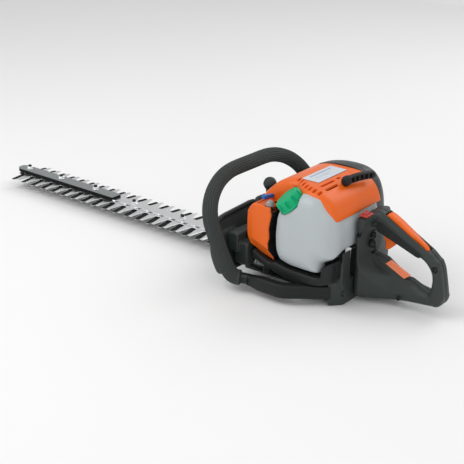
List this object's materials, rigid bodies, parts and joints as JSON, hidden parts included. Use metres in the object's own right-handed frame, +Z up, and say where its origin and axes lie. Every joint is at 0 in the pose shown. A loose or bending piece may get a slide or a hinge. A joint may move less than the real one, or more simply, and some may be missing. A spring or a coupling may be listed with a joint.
{
  "type": "hedge trimmer",
  "caption": "Petrol hedge trimmer with a long double-sided reciprocating blade, a front loop handle, a hand guard and a swivelling rear D-handle.",
  "frame": {"origin": "middle of the machine's length and width, on the floor it stands on", "axes": "-X towards the blade's tip, +X to the rear handle, -Y to the operator's left, +Z up"},
  "size_m": [1.049, 0.315, 0.2099],
  "materials": {
    "charcoal": "fine grained moulding",
    "black": "satin black moulding",
    "rubber": "matt, ribbed",
    "orange": "smooth moulding",
    "tank": "translucent white moulding",
    "green": "smooth moulding",
    "blue": "smooth moulding",
    "red": "smooth moulding",
    "clear": "clear moulding",
    "steel": "ground and polished",
    "grey_bar": "grey coating",
    "cast": "die cast",
    "label": "plain"
  },
  "bodies": {
    "machine": {"air_filter": "label", "av_spring_left": "black", "av_spring_right": "black", "bar_cover": "grey_bar", "blade_stud_1": "steel", "blade_stud_2": "steel", "blade_stud_3": "steel", "blade_stud_4": "steel", "blade_stud_5": "steel", "carburettor": "cast", "crankcase": "cast", "cylinder": "cast", "engine_tray": "black", "filter_cover": "orange", "front_bracket": "charcoal", "front_loop": "black", "fuel_tank": "tank", "gear_cover": "black", "gear_housing": "black", "guide_bar": "steel", "hand_guard": "charcoal", "loop_grip": "rubber", "muffler": "steel", "plug_cap": "black", "rear_bracket": "charcoal", "rear_buffer_left": "rubber", "rear_buffer_right": "rubber", "right_cover": "charcoal", "side_bar_left": "charcoal", "side_bar_right": "charcoal", "spark_plug": "label", "top_label": "label", "top_shroud": "orange"},
    "blade_low": {"blade_lower": "steel"},
    "blade_high": {"blade_upper": "steel"},
    "drive": {"drive_gear": "steel", "eccentric_lower": "steel", "eccentric_upper": "steel"},
    "drum": {"clutch_drum": "steel"},
    "crank": {"crankshaft": "steel", "clutch_shoe_left": "cast", "clutch_shoe_right": "cast", "flywheel": "cast"},
    "piston": {"piston": "cast"},
    "pulley": {"starter_pulley": "black"},
    "pull_grip": {"starter_grip": "black"},
    "cap": {"fuel_cap": "green"},
    "primer": {"primer_bulb": "clear"},
    "choke": {"choke_lever": "blue"},
    "rear_handle": {"handle_left": "charcoal", "handle_right": "charcoal", "grip_inlay_left": "black", "grip_inlay_right": "black", "swivel_spindle": "steel"},
    "swivel_catch": {"swivel_lock": "orange"},
    "throttle": {"trigger": "orange"},
    "lockout": {"throttle_lock": "orange"},
    "switch": {"stop_switch": "red"}
  },
  "joints": [
    {"name": "lower_blade_slide", "type": "slide", "parent": "machine", "child": "blade_low", "axis": [1, 0, 0], "range_m": [0, 0.0155]},
    {"name": "upper_blade_slide", "type": "slide", "parent": "machine", "child": "blade_high", "axis": [1, 0, 0], "range_m": [-0.0155, 0]},
    {"name": "gear_spin", "type": "hinge", "parent": "machine", "child": "drive", "pos_m": [0.23645, 0, 0.0395], "axis": [0, 0, 1], "continuous": true},
    {"name": "drum_spin", "type": "hinge", "parent": "machine", "child": "drum", "pos_m": [0.28045, 0, 0.0395], "axis": [0, 0, 1], "continuous": true},
    {"name": "crank_spin", "type": "hinge", "parent": "machine", "child": "crank", "pos_m": [0.28045, 0, 0.114], "axis": [0, 0, 1], "continuous": true},
    {"name": "piston_slide", "type": "slide", "parent": "machine", "child": "piston", "axis": [1, 0, 0], "range_m": [-0.014, 0.014]},
    {"name": "starter_pull", "type": "slide", "parent": "machine", "child": "pull_grip", "axis": [0.5, 0, 0.866], "range_m": [0, 0.3], "stiffness_N_per_m": 8, "springref_m": -0.4},
    {"name": "pulley_spin", "type": "hinge", "parent": "machine", "child": "pulley", "pos_m": [0.28045, 0, 0.185], "axis": [0, 0, 1], "range_deg": [0, 764]},
    {"name": "cap_turn", "type": "hinge", "parent": "machine", "child": "cap", "pos_m": [0.28707, -0.09352, 0.16725], "axis": [-0.5535, -0.3522, 0.7547], "range_deg": [0, 360]},
    {"name": "primer_press", "type": "slide", "parent": "machine", "child": "primer", "axis": [0, 0, -1], "range_m": [0, 0.004], "stiffness_N_per_m": 300, "springref_m": -0.002},
    {"name": "choke_turn", "type": "hinge", "parent": "machine", "child": "choke", "pos_m": [0.22345, -0.063, 0.1563], "axis": [0, 0, -1], "range_deg": [0, 35]},
    {"name": "handle_swivel", "type": "hinge", "parent": "machine", "child": "rear_handle", "pos_m": [0.37345, 0, 0.062], "axis": [1, 0, 0], "range_deg": [-90, 90]},
    {"name": "swivel_release", "type": "slide", "parent": "machine", "child": "swivel_catch", "axis": [-1, 0, 0], "range_m": [0, 0.003], "stiffness_N_per_m": 200, "springref_m": -0.004},
    {"name": "trigger_pull", "type": "hinge", "parent": "rear_handle", "child": "throttle", "pos_m": [0.40472, 0, 0.13389], "axis": [0, -1, 0], "range_deg": [0, 12], "stiffness_Nm_per_rad": 0.2, "springref_deg": -17.19},
    {"name": "lockout_press", "type": "hinge", "parent": "rear_handle", "child": "lockout", "pos_m": [0.48384, 0, 0.11151], "axis": [0, -1, 0], "range_deg": [0, 4], "stiffness_Nm_per_rad": 0.4, "springref_deg": -17.19},
    {"name": "switch_slide", "type": "slide", "parent": "rear_handle", "child": "switch", "axis": [1, 0, 0], "range_m": [-0.002, 0.002]}
  ],
  "couplings": [
    {"joint": "upper_blade_slide", "follows": "lower_blade_slide", "ratio": -1},
    {"joint": "drum_spin", "follows": "gear_spin", "ratio": -3.4},
    {"joint": "pulley_spin", "follows": "starter_pull", "rad_per_m": 44.444}
  ]
}
